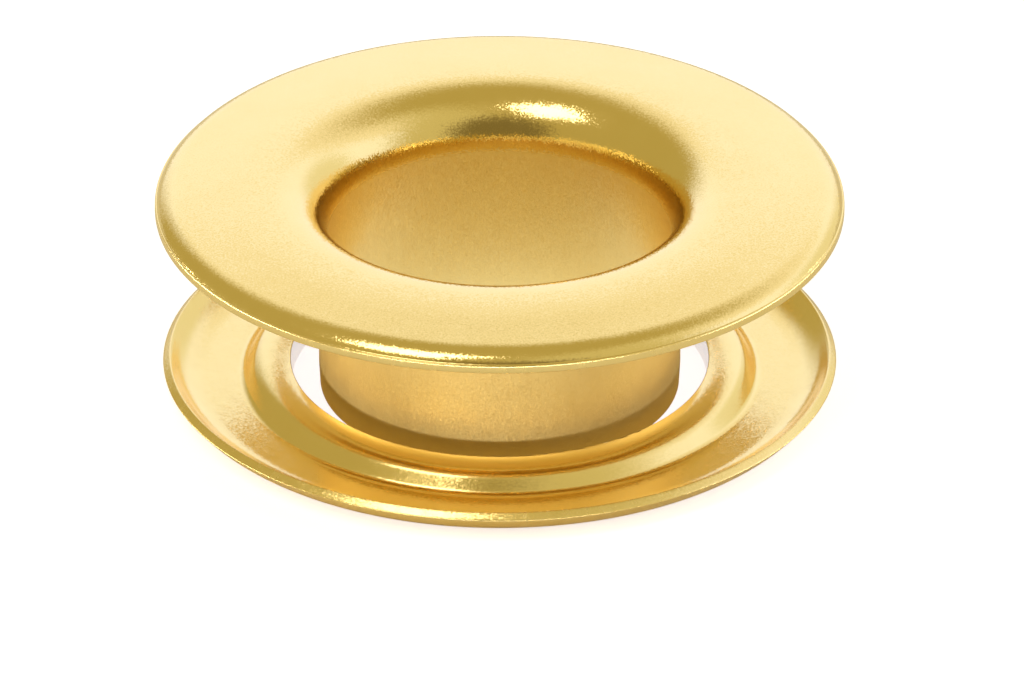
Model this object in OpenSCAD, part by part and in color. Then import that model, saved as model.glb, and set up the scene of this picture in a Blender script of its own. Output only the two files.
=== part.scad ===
// Tarpaulin eyelet: a flanged eyelet and the cupped washer that it is set
// against. Both are pressed from thin brass sheet, so each section is one
// strip of even thickness that bends along a path of straights and arcs.
// The eyelet stands on the end of its barrel, inside the hole of the washer.
// +Z is up the barrel, and the origin is on the axis at the foot of the barrel.

/* [Eyelet] */
// Diameter of the bore through the barrel
bore_d = 12; // [10:0.1:14]
// Diameter over the lip of the flange
flange_d = 24; // [22.5:0.1:32]
// Height of the straight part of the barrel
barrel_h = 5.9; // [4:0.1:12]
// Thickness of the eyelet's sheet
eyelet_sheet = 0.3; // [0.2:0.01:0.4]
// Thickness that drawing leaves at the foot of the barrel
barrel_foot_sheet = 0.25; // [0.18:0.01:0.3]
// Height over which the barrel's wall thins towards its foot
barrel_lead_h = 0.9; // [0.3:0.1:2]
// Rounding of the barrel's foot on its outer side
barrel_foot_r = 0.1; // [0.02:0.01:0.15]

/* [Flange] */
// Radius of the throat, where the bore turns out towards the flange
throat_r = 1.9; // [0.8:0.01:2]
// Slope at which the throat widens into its brow
throat_end_angle = 6; // [1:1:15]
// Wider radius of the brow, from the throat up to the crown
brow_r = 3.5; // [2:0.1:6]
// Radius of the crown where the flange begins to fall away
crown_r = 18; // [5:0.1:20]
// Slope of the flange from the crown to the rim
flange_angle = 6; // [1:0.1:6]
// First and wider radius of the rim's roll
rim_roll_r = 1.05; // [0.6:0.01:1.3]
// Slope at which the roll tightens
rim_tighten_angle = 35; // [15:1:50]
// Second and tighter radius of the rim's roll
rim_edge_r = 0.8; // [0.5:0.01:1]
// Slope at which the roll ends, on the lip
rim_end_angle = 62; // [55:1:75]
// Height of the lip round the rim
lip_h = 0.29; // [0.27:0.01:0.4]
// Width of the lip from the end of the roll to its outer face
lip_w = 0.06; // [0.04:0.01:0.2]
// Ledge by which the lip stands out of the rolled face
lip_ledge_w = 0.03; // [0.01:0.01:0.04]
// Height of the upright band of the lip
lip_band_h = 0.26; // [0.05:0.01:0.26]

/* [Washer] */
// How far the washer's rim stays inside the flange's lip
washer_inset = 0.25; // [0:0.01:0.3]
// Clearance between the barrel and the washer's hole, on the radius
barrel_clearance = 0.95; // [0.1:0.01:1.1]
// Thickness of the washer's sheet
washer_sheet = 0.34; // [0.2:0.01:0.4]
// Rounding of the hole's upper edge
hole_edge_r = 0.18; // [0.02:0.01:0.19]
// Slope at which the bead rises from the hole
bead_rise_angle = 18; // [10:1:35]
// Radius over the crown of the bead round the hole
bead_crown_r = 1.28; // [0.8:0.01:1.6]
// Slope at which the bead's shoulder tightens
bead_shoulder_angle = 22; // [15:1:40]
// Radius of the bead's shoulder
bead_shoulder_r = 0.75; // [0.45:0.01:0.9]
// Slope of the bead's outer wall
bead_wall_angle = 52; // [50:1:75]
// Length of the straight part of the bead's outer wall
bead_wall_l = 0.38; // [0.1:0.01:0.6]
// Radius of the crease between the bead and the floor
bead_crease_r = 0.4; // [0.05:0.01:0.5]
// Radius between the floor and the washer's rim
cup_r = 1.4; // [0.2:0.1:1.8]
// Slope of the washer's rim
rim_wall_angle = 48; // [40:1:70]
// Length of the straight part of the washer's rim
rim_wall_l = 0.42; // [0.3:0.01:1.2]

/* [Hidden] */
$fn = 180;

brass = "#e0bd62";
// Largest turn between two points of an arc, in degrees
arc_step_angle = 4.5;

// A path is a list of moves, each [length or radius, turn]. A turn of 0 is a
// straight run, a turn above 0 bends to the left and one below 0 to the right.

function forward(heading) = [cos(heading), sin(heading)];
function right_of(heading) = [sin(heading), -cos(heading)];

// Where a move ends, for a station given as [point, heading]
function moved(station, move) =
    move[1] == 0
        ? [station[0] + move[0] * forward(station[1]), station[1]]
        : let (side = sign(move[1]) * move[0],
               centre = station[0] - side * right_of(station[1]),
               heading = station[1] + move[1])
          [centre + side * right_of(heading), heading];

// The stations along a path, with its arcs cut into short equal turns
function stations(start, moves, i = 0) =
    i == len(moves)
        ? [start]
        : let (cuts = max(1, ceil(abs(moves[i][1]) / arc_step_angle)),
               part = [moves[i][0], moves[i][1] / cuts],
               run = [for (k = 0, at = start; k < cuts; k = k + 1, at = moved(at, part)) at])
          concat(run, stations(moved(run[cuts - 1], part), moves, i + 1));

// How far a list of moves goes across and up from a heading
function span(heading, moves) =
    let (all = stations([[0, 0], heading], moves)) all[len(all) - 1][0];

// The line that lies a depth to the right of a list of stations
function skin(all, depth) = [for (s = all) s[0] + depth * right_of(s[1])];

function turned_back(points) = [for (i = [len(points) - 1:-1:0]) points[i]];

// Points of an arc about a centre, from one angle to another
function arc(centre, radius, from, to) =
    let (cuts = ceil(abs(to - from) / arc_step_angle))
    [for (k = [0:cuts]) centre + radius * forward(from + (to - from) * k / cuts)];

// Path of the eyelet's upper face: bore, throat, brow, crown, slope and rim
throat_and_crown = [
    [throat_r, throat_end_angle - 90],
    [brow_r, -throat_end_angle],
    [crown_r, -flange_angle]
];
rim_roll = [
    [rim_roll_r, flange_angle - rim_tighten_angle],
    [rim_edge_r, rim_tighten_angle - rim_end_angle]
];
roll_end_r = flange_d / 2 - lip_w;
slope_run = (roll_end_r - bore_d / 2 - span(90, throat_and_crown)[0]
    - span(-flange_angle, rim_roll)[0]) / cos(flange_angle);
eyelet_path = concat([[barrel_h, 0]], throat_and_crown, [[slope_run, 0]], rim_roll);
eyelet_stations = stations([[bore_d / 2, 0], 90], eyelet_path);

// Path of the washer's upper face, from its hole to its rim
washer_r = flange_d / 2 - washer_inset;
washer_hole_r = bore_d / 2 + eyelet_sheet + barrel_clearance;
bead = [
    [bead_crown_r, -bead_rise_angle - bead_shoulder_angle],
    [bead_shoulder_r, bead_shoulder_angle - bead_wall_angle],
    [bead_wall_l, 0],
    [bead_crease_r, bead_wall_angle]
];
cup_wall = [[cup_r, rim_wall_angle], [rim_wall_l, 0]];
hole_edge = [washer_hole_r + hole_edge_r, washer_sheet
    - span(bead_rise_angle, bead)[1] - hole_edge_r * cos(bead_rise_angle)];
bead_start = hole_edge - hole_edge_r * right_of(bead_rise_angle);
floor_run = washer_r - washer_sheet * sin(rim_wall_angle) - bead_start[0]
    - span(bead_rise_angle, bead)[0] - span(0, cup_wall)[0];
washer_path = concat(bead, [[floor_run, 0]], cup_wall);
washer_stations = stations([bead_start, bead_rise_angle], washer_path);

// Foot of the barrel, thinned by drawing and rounded on its outer side
function barrel_foot() =
    let (round_centre = [bore_d / 2 + barrel_foot_sheet - barrel_foot_r, barrel_foot_r])
    concat([[bore_d / 2 + eyelet_sheet, barrel_lead_h]],
        arc(round_centre, barrel_foot_r, 0, -90));

// Lip that the trimming leaves round the rim, from the end of the roll
function trimmed_lip() =
    let (roll_end = eyelet_stations[len(eyelet_stations) - 1],
         lip_z = roll_end[0][1] - lip_h,
         under = roll_end[0] + eyelet_sheet * right_of(roll_end[1]))
    [
        roll_end[0] - lip_ledge_w * right_of(roll_end[1]),
        [flange_d / 2, lip_z + lip_band_h],
        [flange_d / 2, lip_z],
        [under[0] + (under[1] - lip_z) / tan(rim_end_angle), lip_z]
    ];

// Drawn barrel, throat and brow, sloped flange and rolled rim in one sheet
module eyelet() {
    upper = skin(eyelet_stations, 0);
    under = turned_back(skin(eyelet_stations, eyelet_sheet));
    under_flange = [for (i = [0:len(under) - 2]) under[i]];
    color(brass)
        rotate_extrude()
            polygon(concat(upper, trimmed_lip(), under_flange, barrel_foot()));
}

// Raised bead round the hole, flat floor and upturned rim in one sheet
module washer() {
    upper = skin(washer_stations, 0);
    under = turned_back(skin(washer_stations, washer_sheet));
    edge = arc(hole_edge, hole_edge_r, 180 + bead_rise_angle, 90 + bead_rise_angle);
    edge_start = [for (i = [0:len(edge) - 2]) edge[i]];
    color(brass)
        rotate_extrude()
            polygon(concat(edge_start, upper, under));
}

eyelet();
washer();
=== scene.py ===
"""A tarpaulin eyelet standing in the hole of its washer, both of pressed and lacquered brass.

Each piece is one sheet of metal. Its section is drawn move by move, as the sheet bends,
turned once round the axis of the bore, and its cut edges are then rounded.
"""

import logging
import math
from dataclasses import dataclass, field
from enum import Enum

import bmesh
import bpy
from mathutils import Matrix, Vector


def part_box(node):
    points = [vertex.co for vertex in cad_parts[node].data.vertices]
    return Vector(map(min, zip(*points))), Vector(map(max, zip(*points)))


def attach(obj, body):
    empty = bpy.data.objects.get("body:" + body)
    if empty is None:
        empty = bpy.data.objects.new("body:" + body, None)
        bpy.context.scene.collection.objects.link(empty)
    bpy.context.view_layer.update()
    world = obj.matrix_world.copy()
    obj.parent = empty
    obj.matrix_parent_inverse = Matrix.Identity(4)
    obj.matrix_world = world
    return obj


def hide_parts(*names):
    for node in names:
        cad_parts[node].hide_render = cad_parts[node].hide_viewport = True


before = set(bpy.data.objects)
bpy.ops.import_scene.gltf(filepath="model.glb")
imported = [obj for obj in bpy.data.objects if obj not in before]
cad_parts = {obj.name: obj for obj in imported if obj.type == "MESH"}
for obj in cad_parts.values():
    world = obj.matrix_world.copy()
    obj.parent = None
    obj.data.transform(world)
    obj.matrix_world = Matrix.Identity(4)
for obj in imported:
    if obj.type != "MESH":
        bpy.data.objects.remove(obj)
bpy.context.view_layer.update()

log = logging.getLogger("eyelet")

MM = 0.001
# Width left free inside the CAD box, for the rounding of a mesh's coordinates
HAIR_MM = 0.0005
# Points closer than this, in millimetres, are one point
SAME_POINT_MM = 1e-5
# Points closer than this to a corner of the section belong to the ring that it has become
SAME_RING_MM = 1e-3
# Least number of faces across a rounded edge
ROUNDING_CUTS = 3
BODY = "root"
PHOTO_WIDTH_PX, PHOTO_HEIGHT_PX = 1024, 675
# A Mix node's sockets for colours, whose names are also those of its sockets for numbers
COLOUR_A, COLOUR_B, COLOUR_OUT = 6, 7, 2
# Nearly all of a noise lies between these two values
NOISE_LOW, NOISE_HIGH = 0.3, 0.7


def linear(code: str) -> tuple[float, float, float, float]:
    """Turns an sRGB hex colour into the linear colour that a shader takes.

    Args:
        code: The colour, such as "#e0bd62".

    Returns:
        Red, green, blue and an alpha of 1.
    """
    parts = [int(code[i : i + 2], 16) / 255 for i in (1, 3, 5)]
    red, green, blue = (
        c / 12.92 if c <= 0.04045 else ((c + 0.055) / 1.055) ** 2.4 for c in parts
    )
    return red, green, blue, 1.0


def add_node(
    tree: bpy.types.NodeTree,
    kind: str,
    settings: dict[str, object] | None = None,
    links: dict[str | int, object] | None = None,
) -> bpy.types.Node:
    """Adds one node to a shader.

    Args:
        tree: The shader's node tree.
        kind: The node's type, without its "ShaderNode" prefix.
        settings: Values for the node's own properties.
        links: For each input, the output that feeds it or the value that it holds.

    Returns:
        The new node.
    """
    node = tree.nodes.new("ShaderNode" + kind)
    for name, value in (settings or {}).items():
        setattr(node, name, value)
    for name, source in (links or {}).items():
        if isinstance(source, bpy.types.NodeSocket):
            tree.links.new(source, node.inputs[name])
        else:
            node.inputs[name].default_value = source
    return node


class Surface(Enum):
    """How the making has left a face of the sheet."""

    PRESSED = "pressed"
    SHEARED = "sheared"
    DIE_SIDE = "rubbed by the drawing die"


class Side(Enum):
    """Which way a section bends, seen along the way it is drawn."""

    LEFT = 1
    RIGHT = -1


@dataclass(frozen=True)
class Run:
    """A straight stretch of a section, in millimetres."""

    length: float

    def behind(self, depth: float) -> "Run":
        """Returns the same stretch, which is as long on the other face of the sheet."""
        return self


@dataclass(frozen=True)
class Bend:
    """A round stretch of a section: a radius in millimetres and a turn in degrees."""

    radius: float
    turn: float
    side: Side = Side.RIGHT

    def behind(self, depth: float) -> "Bend":
        """Gives the bend on the other face of the sheet, drawn the other way.

        Args:
            depth: Thickness of the sheet, which lies on the right of the drawn face.

        Returns:
            The bend about the same centre.
        """
        other = Side.LEFT if self.side is Side.RIGHT else Side.RIGHT
        return Bend(self.radius + self.side.value * depth, self.turn, other)


Move = Run | Bend


def behind(moves: list[Move], depth: float) -> list[Move]:
    """Gives the moves that follow the other face of a sheet back to its start.

    Args:
        moves: The moves along the drawn face.
        depth: Thickness of the sheet.

    Returns:
        The moves of the other face, last first.
    """
    return [move.behind(depth) for move in reversed(moves)]


class SectionPen:
    """Draws a section in the XZ plane of a bmesh, with X as the radius, in millimetres."""

    widest_step_deg = 3.0
    longest_step = 0.14

    def __init__(self, start: Vector, heading: float) -> None:
        """Puts the pen down.

        Args:
            start: First point of the section.
            heading: Direction of the first move, in degrees above the X axis.
        """
        self.mesh = bmesh.new()
        self.first = self.mesh.verts.new(start)
        self.tip = self.first
        self.heading = heading

    def forward(self) -> Vector:
        """Returns the unit vector along the heading."""
        angle = math.radians(self.heading)
        return Vector((math.cos(angle), 0, math.sin(angle)))

    def right(self) -> Vector:
        """Returns the unit vector to the right of the heading, into the sheet."""
        angle = math.radians(self.heading)
        return Vector((math.sin(angle), 0, -math.cos(angle)))

    def turn(self, degrees: float) -> None:
        """Turns the heading on the spot, to the left if above 0."""
        self.heading += degrees

    def line_to(self, point: Vector) -> None:
        """Draws a straight line to a point, in short steps.

        Args:
            point: Where the line ends.
        """
        start = self.tip.co.copy()
        steps = max(1, math.ceil((point - start).length / self.longest_step))
        for step in range(1, steps + 1):
            made = bmesh.ops.extrude_vert_indiv(self.mesh, verts=[self.tip])
            self.tip = made["verts"][0]
            self.tip.co = start.lerp(point, step / steps)

    def draw(self, moves: list[Move]) -> None:
        """Draws a list of moves.

        Args:
            moves: Straight and round stretches, each from where the last one ended.
        """
        for move in moves:
            if isinstance(move, Run):
                self.line_to(self.tip.co + move.length * self.forward())
            else:
                self.bend(move)

    def bend(self, move: Bend) -> None:
        """Draws one round stretch by turning the pen's point about the bend's centre.

        Args:
            move: The bend.
        """
        centre = self.tip.co - move.side.value * move.radius * self.right()
        arc = move.radius * math.radians(move.turn)
        steps = math.ceil(max(move.turn / self.widest_step_deg, arc / self.longest_step))
        made = bmesh.ops.spin(
            self.mesh,
            geom=[self.tip],
            cent=centre,
            axis=(0, -1, 0),
            angle=math.radians(move.turn) * move.side.value,
            steps=steps,
            use_duplicate=False,
        )
        self.tip = next(g for g in made["geom_last"] if isinstance(g, bmesh.types.BMVert))
        self.heading += move.side.value * move.turn

    def close(self) -> None:
        """Draws the line back to the first point."""
        self.line_to(self.first.co.copy())
        bmesh.ops.remove_doubles(self.mesh, verts=self.mesh.verts, dist=SAME_POINT_MM)


@dataclass
class PressedPiece:
    """A piece pressed from one sheet, round about the axis of the bore, in millimetres."""

    name: str
    finishes: dict[Surface, "LacqueredBrass"]
    steps_round: int = 240
    edge_r: float = 0.035
    corners: list[tuple[Vector, float]] = field(default_factory=list, init=False)

    def draw_section(self) -> SectionPen:
        """Draws the closed section, and notes its corners. Each kind of piece has its own."""
        raise NotImplementedError

    def surface_at(self, centre: Vector) -> Surface:
        """Says which surface a face at this place has. Each kind of piece has its own."""
        raise NotImplementedError

    def corner(self, pen: SectionPen, radius: float | None = None) -> None:
        """Notes that the pen stands on a corner, which is rounded later.

        Args:
            pen: The pen, at the corner.
            radius: Size of the rounding in millimetres, or None for that of a cut edge.
        """
        self.corners.append((pen.tip.co.copy(), radius or self.edge_r))

    def build(self) -> bpy.types.Object:
        """Turns the section round the axis and rounds its corners.

        Returns:
            The piece, in metres, with its place in its mesh.
        """
        solid = self.draw_section().mesh
        bmesh.ops.spin(
            solid,
            geom=list(solid.verts) + list(solid.edges),
            cent=(0, 0, 0),
            axis=(0, 0, 1),
            angle=math.tau,
            steps=self.steps_round,
            use_merge=True,
            use_duplicate=False,
        )
        bmesh.ops.remove_doubles(solid, verts=solid.verts, dist=SAME_POINT_MM)
        bmesh.ops.recalc_face_normals(solid, faces=solid.faces)
        for place, radius in self.corners:
            self.round_ring(solid, place, radius)
        slots = list(self.finishes)
        for face in solid.faces:
            face.smooth = True
            face.material_index = slots.index(self.surface_at(face.calc_center_median()))
        # The rounding of coordinates leaves some feet a millionth of a millimetre too low
        for vert in solid.verts:
            vert.co.z = max(vert.co.z, 0.0)
        bmesh.ops.transform(solid, matrix=Matrix.Scale(MM, 4), verts=solid.verts)
        mesh = bpy.data.meshes.new(self.name)
        solid.to_mesh(mesh)
        solid.free()
        piece = bpy.data.objects.new(self.name, mesh)
        bpy.context.scene.collection.objects.link(piece)
        return piece

    def round_ring(self, solid: bmesh.types.BMesh, place: Vector, radius: float) -> None:
        """Rounds the ring of edges that a corner of the section has become.

        Args:
            solid: The turned piece.
            place: The corner, with X as its radius from the axis.
            radius: Size of the rounding.
        """
        level = [v for v in solid.verts if abs(v.co.z - place.z) < SAME_RING_MM]
        ring = {v for v in level if abs(v.co.xy.length - place.x) < SAME_RING_MM}
        edges = [e for e in solid.edges if ring.issuperset(e.verts)]
        bmesh.ops.bevel(
            solid,
            geom=edges,
            offset=radius,
            affect="EDGES",
            segments=max(ROUNDING_CUTS, math.ceil(radius / self.edge_r)),
            profile=0.5,
            material=-1,
            clamp_overlap=True,
        )

    def dress(self, piece: bpy.types.Object) -> None:
        """Gives the piece its finishes and sets it in its body, in place of its CAD node.

        Args:
            piece: The built piece.
        """
        for finish in self.finishes.values():
            piece.data.materials.append(finish.material())
        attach(piece, BODY)
        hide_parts(self.name)


@dataclass
class Eyelet(PressedPiece):
    """The eyelet: drawn barrel, rounded throat, sloped flange and rolled rim with its lip.

    Its foot_ and lead_ sizes are those of the barrel's lower end, where drawing has thinned the
    sheet. Its roll_ and rim_ sizes are those of the first and second half of the rim's roll.
    """

    bore_r: float = 6.0
    flange_r: float = 12.0
    barrel_h: float = 5.9
    sheet: float = 0.3
    foot_sheet: float = 0.25
    lead_h: float = 0.9
    foot_r: float = 0.1
    throat_r: float = 1.9
    throat_deg: float = 84.0
    brow_r: float = 3.5
    crown_r: float = 18.0
    flange_deg: float = 6.0
    roll_r: float = 1.05
    roll_deg: float = 29.0
    rim_r: float = 0.8
    rim_deg: float = 27.0
    lip_h: float = 0.29
    lip_w: float = 0.06
    ledge_w: float = 0.03
    band_h: float = 0.26
    lip_z: float = field(default=0.0, init=False)

    def throat_and_crown(self) -> list[Move]:
        """Returns the moves from the top of the barrel to the flange's slope."""
        return [
            Bend(self.throat_r, self.throat_deg),
            Bend(self.brow_r, 90.0 - self.throat_deg),
            Bend(self.crown_r, self.flange_deg),
        ]

    def roll(self) -> list[Move]:
        """Returns the moves over the rim, whose roll tightens halfway."""
        return [Bend(self.roll_r, self.roll_deg), Bend(self.rim_r, self.rim_deg)]

    def slope_run(self) -> float:
        """Works out the straight slope that is left between the crown and the roll.

        Returns:
            Its length.
        """
        inner = reach(90.0, self.throat_and_crown()).x
        outer = reach(-self.flange_deg, self.roll()).x
        room = self.flange_r - self.lip_w - self.bore_r
        return (room - inner - outer) / math.cos(math.radians(self.flange_deg))

    def draw_section(self) -> SectionPen:
        """Draws the section from the foot of the bore round to the foot of the barrel.

        Returns:
            The pen, with its outline closed.
        """
        face = [
            Run(self.barrel_h),
            *self.throat_and_crown(),
            Run(self.slope_run()),
            *self.roll(),
        ]
        pen = SectionPen(Vector((self.bore_r, 0, 0)), 90.0)
        self.corner(pen)
        pen.draw(face)
        self.lip_z = pen.tip.co.z - self.lip_h
        inside = pen.tip.co + self.sheet * pen.right()
        slant = (inside.z - self.lip_z) / -pen.forward().z
        lip_foot = inside + slant * pen.forward()
        pen.line_to(pen.tip.co - self.ledge_w * pen.right())
        self.corner(pen, self.ledge_w / 2)
        pen.line_to(Vector((self.flange_r, 0, self.lip_z + self.band_h)))
        self.corner(pen, self.ledge_w)
        pen.line_to(Vector((self.flange_r, 0, self.lip_z)))
        self.corner(pen)
        pen.line_to(lip_foot)
        self.corner(pen)
        pen.turn(180.0)
        pen.draw([Run(slant), *behind(face, self.sheet)[:-1]])
        pen.line_to(Vector((self.bore_r + self.sheet, 0, self.lead_h)))
        pen.line_to(Vector((self.bore_r + self.foot_sheet, 0, 0)))
        self.corner(pen, self.foot_r)
        pen.close()
        return pen

    def surface_at(self, centre: Vector) -> Surface:
        """Tells the trimmed lip and the outer side of the barrel from the pressed face.

        Args:
            centre: Middle of the face.

        Returns:
            The surface.
        """
        reach_out = centre.xy.length
        if reach_out > self.flange_r - self.lip_w and centre.z < self.lip_z + self.lip_h:
            return Surface.SHEARED
        outside = reach_out > self.bore_r + self.sheet / 2
        if outside and centre.z < self.barrel_h + self.sheet:
            return Surface.DIE_SIDE
        return Surface.PRESSED


@dataclass
class Washer(PressedPiece):
    """The washer: raised bead round its hole, flat floor and upturned rim."""

    washer_r: float = 11.75
    hole_r: float = 7.25
    sheet: float = 0.34
    hole_edge_r: float = 0.18
    rise_deg: float = 18.0
    crown_r: float = 1.28
    crown_deg: float = 40.0
    shoulder_r: float = 0.75
    shoulder_deg: float = 30.0
    wall_l: float = 0.38
    crease_r: float = 0.4
    cup_r: float = 1.4
    rim_deg: float = 48.0
    rim_l: float = 0.42
    rim_top: Vector = field(default_factory=Vector, init=False)

    def bead(self) -> list[Move]:
        """Returns the moves over the bead and down its wall to the floor."""
        fall_deg = self.crown_deg + self.shoulder_deg - self.rise_deg
        return [
            Run(self.hole_edge_r),
            Bend(self.crown_r, self.crown_deg),
            Bend(self.shoulder_r, self.shoulder_deg),
            Run(self.wall_l),
            Bend(self.crease_r, fall_deg, Side.LEFT),
        ]

    def rim(self) -> list[Move]:
        """Returns the moves from the floor up the rim."""
        return [Bend(self.cup_r, self.rim_deg, Side.LEFT), Run(self.rim_l)]

    def draw_section(self) -> SectionPen:
        """Draws the section from the hole out to the rim and back underneath.

        Returns:
            The pen, with its outline closed.
        """
        rise = math.radians(self.rise_deg)
        bead, rim = reach(self.rise_deg, self.bead()), reach(0.0, self.rim())
        # The rounding of the hole's edge ends, along the slope, at hole_r + hole_edge_r
        start = Vector((self.hole_r + self.hole_edge_r * (1 - math.cos(rise)), 0, 0))
        start.z = self.sheet - bead.z
        outer = self.washer_r - self.sheet * math.sin(math.radians(self.rim_deg))
        floor_run = outer - start.x - bead.x - rim.x
        face = [*self.bead(), Run(floor_run), *self.rim()]
        pen = SectionPen(start, self.rise_deg)
        self.corner(pen, self.hole_edge_r)
        pen.draw(face)
        self.corner(pen)
        self.rim_top = pen.tip.co.copy()
        pen.line_to(pen.tip.co + self.sheet * pen.right())
        self.corner(pen)
        pen.turn(180.0)
        pen.draw(behind(face, self.sheet))
        self.corner(pen)
        pen.close()
        return pen

    def surface_at(self, centre: Vector) -> Surface:
        """Tells the cut face of the rim from the pressed face.

        Args:
            centre: Middle of the face.

        Returns:
            The surface.
        """
        from_top = Vector((centre.xy.length, 0, centre.z)) - self.rim_top
        angle = math.radians(self.rim_deg)
        along_rim = from_top.dot(Vector((math.cos(angle), 0, math.sin(angle))))
        return Surface.SHEARED if along_rim > -self.edge_r / 2 else Surface.PRESSED


def radius_of(node: str) -> float:
    """Reads the outer radius of a round CAD node.

    Args:
        node: The node.

    Returns:
        Its least reach from the axis, in millimetres, so that a piece stays inside its box.
    """
    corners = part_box(node)
    return min(abs(corner[axis]) for corner in corners for axis in (0, 1)) / MM - HAIR_MM


def reach(heading: float, moves: list[Move]) -> Vector:
    """Works out how far a list of moves goes.

    Args:
        heading: Direction of the first move, in degrees above the X axis.
        moves: The moves.

    Returns:
        The way from the first point to the last.
    """
    pen = SectionPen(Vector((0, 0, 0)), heading)
    pen.draw(moves)
    way = pen.tip.co.copy()
    pen.mesh.free()
    return way


@dataclass(frozen=True)
class LacqueredBrass:
    """Brass sheet under clear lacquer, which mirrors the room in gold.

    The brass is smooth and the lacquer thin and even, so a highlight is bright. The grain of
    the sheet breaks it up at its edge, and turns a mirror into a soft sheen.
    """

    name: str
    light_tone: str = "#fadf95"
    deep_tone: str = "#f6d98a"
    edge_tone: str = "#fff6dd"
    smooth: float = 0.12
    dull: float = 0.18
    lacquer: float = 0.5
    lacquer_roughness: float = 0.1
    # Patches of tone and of sheen, which drawing pulls out to three times their width
    tone_mm: float = 1.7
    sheen_mm: float = 0.35
    pulled_out: tuple[float, float, float] = (1.0, 1.0, 0.3)
    # Orange peel, whose dents lie about a tenth of a millimetre apart on the real sheet
    grain_mm: float = 0.065
    grain_tilt: float = 0.24
    # Long shallow waves, which the die leaves in the sheet
    wave_mm: float = 2.6
    wave_height_mm: float = 0.006
    # Up to this height the die has rubbed the face dull. None leaves it as it was pressed
    drawn_top_mm: float | None = None
    drawn_fade_mm: float = 0.2
    drawn_roughness: float = 0.2

    def material(self) -> bpy.types.Material:
        """Gives the finish's material, made the first time it is asked for.

        Returns:
            The material.
        """
        made = bpy.data.materials.get(self.name)
        if made:
            return made
        made = bpy.data.materials.new(self.name)
        made.use_nodes = True
        tree = made.node_tree
        tree.nodes.clear()
        place = add_node(tree, "TexCoord").outputs["Object"]
        upright = add_node(
            tree, "VectorMath", {"operation": "MULTIPLY"}, {0: place, 1: self.pulled_out}
        ).outputs[0]
        roughness, lacquer_roughness = self.roughnesses(tree, place, upright)
        grained = self.grain(tree, place)
        surface = add_node(
            tree,
            "BsdfPrincipled",
            links={
                "Base Color": self.tone(tree, upright),
                "Metallic": 1.0,
                "Roughness": roughness,
                "Specular Tint": linear(self.edge_tone),
                "Coat Weight": self.lacquer,
                "Coat Roughness": lacquer_roughness,
                "Normal": grained,
                "Coat Normal": grained,
            },
        )
        add_node(tree, "OutputMaterial", links={"Surface": surface.outputs["BSDF"]})
        return made

    def tone(
        self, tree: bpy.types.NodeTree, upright: bpy.types.NodeSocket
    ) -> bpy.types.NodeSocket:
        """Mixes the two tones of the brass in soft patches.

        Args:
            tree: The shader's node tree.
            upright: Place on the piece, pulled out upright.

        Returns:
            The colour.
        """
        patches = add_node(
            tree,
            "TexNoise",
            links={"Vector": upright, "Scale": 1 / (self.tone_mm * MM), "Detail": 3.0},
        )
        tones = {COLOUR_A: linear(self.light_tone), COLOUR_B: linear(self.deep_tone)}
        return add_node(
            tree, "Mix", {"data_type": "RGBA"}, {"Factor": patches.outputs["Fac"], **tones}
        ).outputs[COLOUR_OUT]

    def roughnesses(
        self,
        tree: bpy.types.NodeTree,
        place: bpy.types.NodeSocket,
        upright: bpy.types.NodeSocket,
    ) -> list[bpy.types.NodeSocket | float]:
        """Makes the brass duller in small patches, and it and its lacquer dull where drawn.

        Args:
            tree: The shader's node tree.
            place: Place on the piece.
            upright: The same place, pulled out upright.

        Returns:
            The roughness of the brass and that of its lacquer.
        """
        patches = add_node(
            tree,
            "TexNoise",
            links={"Vector": upright, "Scale": 1 / (self.sheen_mm * MM), "Detail": 4.0},
        )
        brass = add_node(
            tree,
            "MapRange",
            links={
                "Value": patches.outputs["Fac"],
                "From Min": NOISE_LOW,
                "From Max": NOISE_HIGH,
                "To Min": self.smooth,
                "To Max": self.dull,
            },
        ).outputs["Result"]
        if self.drawn_top_mm is None:
            return [brass, self.lacquer_roughness]
        drawn = add_node(
            tree,
            "MapRange",
            {"interpolation_type": "SMOOTHSTEP"},
            {
                "Value": add_node(tree, "SeparateXYZ", links={0: place}).outputs["Z"],
                "From Min": (self.drawn_top_mm + self.drawn_fade_mm) * MM,
                "From Max": (self.drawn_top_mm - self.drawn_fade_mm) * MM,
            },
        ).outputs["Result"]
        return [
            add_node(
                tree,
                "Math",
                {"operation": "MULTIPLY_ADD"},
                {0: drawn, 1: self.drawn_roughness, 2: pressed},
            ).outputs[0]
            for pressed in (brass, self.lacquer_roughness)
        ]

    def grain(
        self, tree: bpy.types.NodeTree, place: bpy.types.NodeSocket
    ) -> bpy.types.NodeSocket:
        """Makes the waves of the pressing and the fine orange peel of the sheet.

        Args:
            tree: The shader's node tree.
            place: Place on the piece.

        Returns:
            The surface's direction.
        """
        wave, peel = (
            add_node(
                tree, "TexNoise", links={"Vector": place, "Scale": 1 / (size * MM), "Detail": 1.0}
            )
            for size in (self.wave_mm, self.grain_mm)
        )
        waved = add_node(
            tree,
            "Bump",
            links={"Height": wave.outputs["Fac"], "Distance": self.wave_height_mm * MM},
        )
        centred = add_node(
            tree,
            "VectorMath",
            {"operation": "SUBTRACT"},
            {0: waved.outputs["Normal"], 1: (self.grain_tilt / 2,) * 3},
        )
        tilted = add_node(
            tree,
            "VectorMath",
            {"operation": "MULTIPLY_ADD"},
            {0: peel.outputs["Color"], 1: (self.grain_tilt,) * 3, 2: centred.outputs[0]},
        )
        level = add_node(tree, "VectorMath", {"operation": "NORMALIZE"}, {0: tilted.outputs[0]})
        return level.outputs[0]


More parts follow.
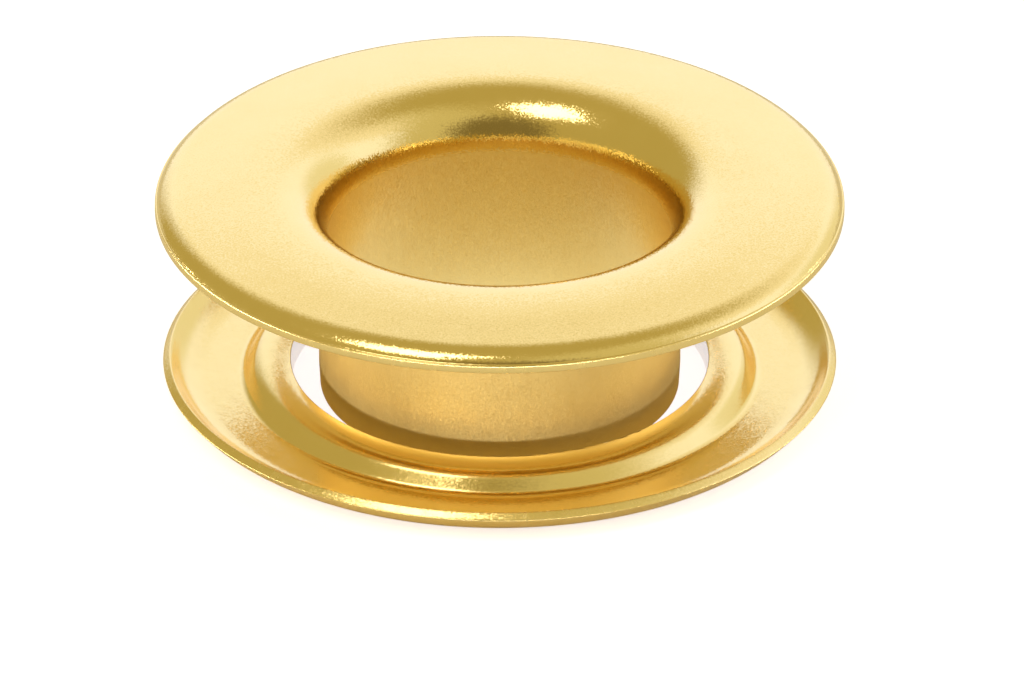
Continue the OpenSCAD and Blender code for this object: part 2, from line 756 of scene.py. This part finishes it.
def direction(azimuth_deg: float, elevation_deg: float) -> Vector:
    """Gives a unit vector.

    Args:
        azimuth_deg: Angle round from +X towards +Y.
        elevation_deg: Angle above the floor.

    Returns:
        The direction.
    """
    azimuth, elevation = math.radians(azimuth_deg), math.radians(elevation_deg)
    level = math.cos(elevation)
    return Vector((level * math.cos(azimuth), level * math.sin(azimuth), math.sin(elevation)))


@dataclass(frozen=True)
class SoftBox:
    """A lamp with a flat oblong face that is aimed at the eyelet, in metres and watts."""

    name: str
    azimuth_deg: float
    elevation_deg: float
    width: float
    height: float
    power: float
    distance: float = 0.5

    def hang(self, target: Vector) -> None:
        """Hangs the lamp in its place.

        Args:
            target: What the lamp is aimed at.
        """
        lamp = bpy.data.lights.new(self.name, "AREA")
        lamp.shape = "RECTANGLE"
        lamp.size = self.width
        lamp.size_y = self.height
        lamp.energy = self.power
        holder = bpy.data.objects.new(self.name, lamp)
        bpy.context.scene.collection.objects.link(holder)
        away = direction(self.azimuth_deg, self.elevation_deg)
        holder.location = target + self.distance * away
        holder.rotation_euler = away.to_track_quat("Z", "Y").to_euler()
        holder.visible_camera = False


@dataclass(frozen=True)
class Glow:
    """Light of one colour, which shows as it is written at a strength of 1."""

    colour: str
    strength: float = 1.0

    def shade(self) -> tuple[float, float, float, float]:
        """Returns the light as a linear colour."""
        red, green, blue, _ = linear(self.colour)
        return red * self.strength, green * self.strength, blue * self.strength, 1.0


@dataclass(frozen=True)
class SoftEdge:
    """An edge between two lights of the room, round about a direction.

    It starts and is full at the cosines of two angles from that direction.
    """

    azimuth_deg: float
    elevation_deg: float
    starts: float
    full: float

    def share(
        self, tree: bpy.types.NodeTree, way: bpy.types.NodeSocket
    ) -> bpy.types.NodeSocket:
        """Measures in a shader how far past the edge a direction lies.

        Args:
            tree: The shader's node tree.
            way: The direction that is looked along.

        Returns:
            A share from 0, before the edge, to 1, past it.
        """
        middle = direction(self.azimuth_deg, self.elevation_deg)
        cosine = add_node(tree, "VectorMath", {"operation": "DOT_PRODUCT"}, {0: way, 1: middle})
        share = add_node(
            tree,
            "MapRange",
            {"interpolation_type": "SMOOTHSTEP"},
            {"Value": cosine.outputs["Value"], "From Min": self.starts, "From Max": self.full},
        )
        return share.outputs["Result"]


@dataclass(frozen=True)
class Room:
    """The studio round the object: a bright paper sweep behind, and a dimmer warm room.

    The brass mirrors all of it, which gives the flange its even pale gold.
    """

    walls: Glow = Glow("#ffeea2", 0.5)
    side: Glow = Glow("#fff6c3", 0.66)
    side_edge: SoftEdge = SoftEdge(-35.0, 20.0, 0.52, 0.84)
    front: Glow = Glow("#ffe9a0", 0.22)
    front_edge: SoftEdge = SoftEdge(-90.0, 15.0, 0.78, 0.95)
    sweep: Glow = Glow("#e4eaff", 1.43)
    sweep_top: Glow = Glow("#fffdf8")
    sweep_top_edge: SoftEdge = SoftEdge(0.0, 90.0, 0.46, 0.6)
    sweep_shade: Glow = Glow("#eae4c6")
    sweep_shade_edge: SoftEdge = SoftEdge(38.0, 0.0, 0.84, 0.96)
    # The sweep's left, right and upper edge
    sweep_edges: tuple[SoftEdge, ...] = (
        SoftEdge(27.0, 0.0, -0.24, 0.17),
        SoftEdge(70.0, 0.0, -0.25, 0.25),
        SoftEdge(0.0, 90.0, 0.93, 0.6),
    )
    # What the pieces mirror when they are seen from below
    below: Glow = Glow("#ffedc4", 0.6)
    below_edge: SoftEdge = SoftEdge(0.0, 90.0, -0.02, -0.25)
    backdrop: Glow = Glow("#ffffff")

    def paint(self) -> None:
        """Makes the room the scene's world, plain white where the camera sees it."""
        world = bpy.data.worlds.new("studio")
        bpy.context.scene.world = world
        world.use_nodes = True
        tree = world.node_tree
        tree.nodes.clear()
        way = add_node(tree, "TexCoord").outputs["Generated"]
        room, sweep = self.walls.shade(), self.sweep.shade()
        for light, edge, blend in (
            (self.sweep_top, self.sweep_top_edge, "MIX"),
            (self.sweep_shade, self.sweep_shade_edge, "MULTIPLY"),
        ):
            sweep = add_node(
                tree,
                "Mix",
                {"data_type": "RGBA", "blend_type": blend},
                {"Factor": edge.share(tree, way), COLOUR_A: sweep, COLOUR_B: light.shade()},
            ).outputs[COLOUR_OUT]
        inside = self.sweep_edges[0].share(tree, way)
        for edge in self.sweep_edges[1:]:
            inside = add_node(
                tree, "Math", {"operation": "MULTIPLY"}, {0: inside, 1: edge.share(tree, way)}
            ).outputs[0]
        seen = add_node(tree, "LightPath").outputs["Is Camera Ray"]
        for share, light in (
            (self.side_edge.share(tree, way), self.side.shade()),
            (self.front_edge.share(tree, way), self.front.shade()),
            (inside, sweep),
            (self.below_edge.share(tree, way), self.below.shade()),
            (seen, self.backdrop.shade()),
        ):
            room = add_node(
                tree,
                "Mix",
                {"data_type": "RGBA"},
                {"Factor": share, COLOUR_A: room, COLOUR_B: light},
            ).outputs[COLOUR_OUT]
        glow = add_node(tree, "Background", links={"Color": room})
        add_node(tree, "OutputWorld", links={"Surface": glow.outputs["Background"]})


@dataclass(frozen=True)
class Floor:
    """A floor of matt white paper, which keeps the object's shadow."""

    radius: float = 3.0
    sides: int = 96
    # The floor stands this far above the feet, so that from below these are seen and not it
    rise_mm: float = 0.002
    tone: str = "#efefef"
    # Light of its own, which lifts it to white where the camera sees it out of the shadow
    light: str = "#f6f6ff"
    lift: float = 0.66
    # In the washer's hole it is lifted further, because less light gets in there
    hole_r_mm: float = Washer.hole_r
    hole_lift: float = 0.22
    # Only there does the brass mirror it glowing, in light off the bore that is paler behind
    near_bounce: Glow = Glow("#ffe080", 0.14)
    far_bounce: Glow = Glow("#d8ecff", 0.55)
    far_from_mm: float = 1.0
    far_full_mm: float = 5.0

    def lay(self) -> None:
        """Lays the floor."""
        sheet = bmesh.new()
        bmesh.ops.create_circle(
            sheet,
            cap_ends=True,
            segments=self.sides,
            radius=self.radius,
            matrix=Matrix.Translation((0, 0, self.rise_mm * MM)),
        )
        mesh = bpy.data.meshes.new("floor")
        sheet.to_mesh(mesh)
        sheet.free()
        floor = bpy.data.objects.new("floor", mesh)
        bpy.context.scene.collection.objects.link(floor)
        mesh.materials.append(self.material())

    def material(self) -> bpy.types.Material:
        """Makes the floor's paper, which is clear when it is seen from below.

        Returns:
            The material.
        """
        # Matt paper has no gloss: all that it gives the eye is the soft edge of the shadow
        paper = bpy.data.materials.new("matt_white_paper")
        paper.use_nodes = True
        tree = paper.node_tree
        tree.nodes.clear()
        path = add_node(tree, "LightPath").outputs
        place = add_node(tree, "TexCoord").outputs["Object"]
        away = add_node(tree, "VectorMath", {"operation": "LENGTH"}, {0: place})
        in_hole = add_node(
            tree,
            "Math",
            {"operation": "LESS_THAN"},
            {0: away.outputs["Value"], 1: self.hole_r_mm * MM},
        ).outputs[0]
        mirrored = add_node(
            tree, "Math", {"operation": "MULTIPLY"}, {0: path["Is Glossy Ray"], 1: in_hole}
        ).outputs[0]
        seen = add_node(
            tree,
            "Math",
            {"operation": "MULTIPLY_ADD"},
            {0: in_hole, 1: self.hole_lift, 2: self.lift},
        ).outputs[0]
        strength = add_node(
            tree,
            "Math",
            {"operation": "MULTIPLY_ADD"},
            {0: path["Is Camera Ray"], 1: seen, 2: mirrored},
        ).outputs[0]
        far = add_node(
            tree,
            "MapRange",
            links={
                "Value": add_node(tree, "SeparateXYZ", links={0: place}).outputs["Y"],
                "From Min": self.far_from_mm * MM,
                "From Max": self.far_full_mm * MM,
            },
        ).outputs["Result"]
        bounce = add_node(
            tree,
            "Mix",
            {"data_type": "RGBA"},
            {"Factor": far, COLOUR_A: self.near_bounce.shade(), COLOUR_B: self.far_bounce.shade()},
        ).outputs[COLOUR_OUT]
        colour = add_node(
            tree,
            "Mix",
            {"data_type": "RGBA"},
            {"Factor": mirrored, COLOUR_A: linear(self.light), COLOUR_B: bounce},
        ).outputs[COLOUR_OUT]
        matt = add_node(tree, "BsdfDiffuse", links={"Color": linear(self.tone)})
        glow = add_node(tree, "Emission", links={"Color": colour, "Strength": strength})
        lit = add_node(tree, "AddShader", links={0: matt.outputs[0], 1: glow.outputs[0]})
        from_below = add_node(tree, "NewGeometry").outputs["Backfacing"]
        clear = add_node(tree, "BsdfTransparent")
        face = add_node(
            tree, "MixShader", links={0: from_below, 1: lit.outputs[0], 2: clear.outputs[0]}
        )
        add_node(tree, "OutputMaterial", links={"Surface": face.outputs[0]})
        return paper


@dataclass(frozen=True)
class Studio:
    """The room, the floor and the lamps: one large softbox, and three low strip lights.

    The strips shine in under the flange, on the barrel.
    """

    room: Room = Room()
    floor: Floor = Floor()
    lamps: tuple[SoftBox, ...] = (
        SoftBox("key_softbox", 227.0, 60.0, 0.23, 0.23, 0.5),
        SoftBox("low_front_strip_light", 264.0, 2.4, 0.95, 0.036, 1.6),
        SoftBox("low_left_strip_light", 176.0, 2.4, 0.5, 0.036, 0.95),
        SoftBox("low_right_strip_light", 4.0, 2.4, 0.5, 0.036, 0.4),
    )

    def set_up(self, target: Vector) -> None:
        """Sets up the whole studio.

        Args:
            target: What the lamps are aimed at.
        """
        for lamp in self.lamps:
            lamp.hang(target)
        self.room.paint()
        self.floor.lay()


@dataclass(frozen=True)
class View:
    """The photograph's view: from far off, looking down on the flange."""

    elevation_deg: float = 28.6
    # Distance of the camera, scale and middle of the flange's lip, in the photograph's pixels
    far_px: float = 30000.0
    scale_px_per_mm: float = 28.76
    flange_x_px: float = 499.65
    flange_y_px: float = 208.4
    sensor_mm: float = 36.0
    sees_to_m: float = 10.0

    def set_camera(self, flange_centre: Vector) -> None:
        """Sets the camera so that the flange lies where the photograph has it.

        Args:
            flange_centre: Centre of the plane of the flange's lip.
        """
        lens = bpy.data.cameras.new("camera")
        lens.sensor_width = self.sensor_mm
        lens.lens = self.far_px / PHOTO_WIDTH_PX * self.sensor_mm
        lens.clip_end = self.sees_to_m
        camera = bpy.data.objects.new("camera", lens)
        bpy.context.scene.collection.objects.link(camera)
        away = direction(-90.0, self.elevation_deg)
        turned = away.to_track_quat("Z", "Y")
        right, up = turned @ Vector((1, 0, 0)), turned @ Vector((0, 1, 0))
        pixel = MM / self.scale_px_per_mm
        aim = (
            flange_centre
            + (PHOTO_WIDTH_PX / 2 - self.flange_x_px) * pixel * right
            - (PHOTO_HEIGHT_PX / 2 - self.flange_y_px) * pixel * up
        )
        camera.location = aim + self.far_px * pixel * away
        camera.rotation_euler = turned.to_euler()
        bpy.context.scene.camera = camera


def brass_finishes() -> tuple[dict[Surface, LacqueredBrass], dict[Surface, LacqueredBrass]]:
    """Makes the finishes of the eyelet and those of the washer.

    Returns:
        Both sets, each by the surfaces of its piece.
    """
    top = Eyelet.barrel_h
    # Lacquered brass, drawn and pressed between polished dies: the brightest face, satin gold,
    # with soft highlights that the orange peel of the drawn sheet makes grainy at their edges.
    # Down in the bore the punch has rubbed it duller, with faint upright streaks.
    drawn = LacqueredBrass("lacquered_brass_drawn_and_pressed", drawn_top_mm=top)
    # Lacquered brass, drawn through a die: nearly matt all round the barrel, with a broad pale
    # sheen down its front in place of a highlight.
    die_side = LacqueredBrass("lacquered_brass_drawn", drawn_top_mm=top, drawn_roughness=0.36)
    # Lacquered brass, pressed flat and hardly stretched: half the orange peel of the eyelet, and
    # a little duller, so that it mirrors the underside of the flange as soft brown bands.
    pressed = LacqueredBrass("lacquered_brass_pressed", smooth=0.16, dull=0.22, grain_tilt=0.12)
    # Lacquered brass, sheared by the trimming tool: a thin line duller than the faces beside it.
    cut = LacqueredBrass("lacquered_brass_sheared", smooth=0.2, dull=0.3)
    return (
        {Surface.PRESSED: drawn, Surface.SHEARED: cut, Surface.DIE_SIDE: die_side},
        {Surface.PRESSED: pressed, Surface.SHEARED: cut},
    )


def main() -> None:
    """Builds and dresses both pieces, then the studio and the camera."""
    logging.basicConfig(level=logging.INFO, format="%(name)s: %(message)s")
    bpy.context.scene.view_settings.view_transform = "Standard"
    eyelet_finishes, washer_finishes = brass_finishes()
    eyelet = Eyelet("eyelet", eyelet_finishes, flange_r=radius_of("eyelet"))
    washer = Washer("washer", washer_finishes, washer_r=radius_of("washer"))
    for kind in (eyelet, washer):
        piece = kind.build()
        kind.dress(piece)
        log.info("%s: %d faces", piece.name, len(piece.data.polygons))
    lip_centre = Vector((0, 0, eyelet.lip_z * MM))
    View().set_camera(lip_centre)
    Studio().set_up(lip_centre)


if __name__ == "__main__":
    main()
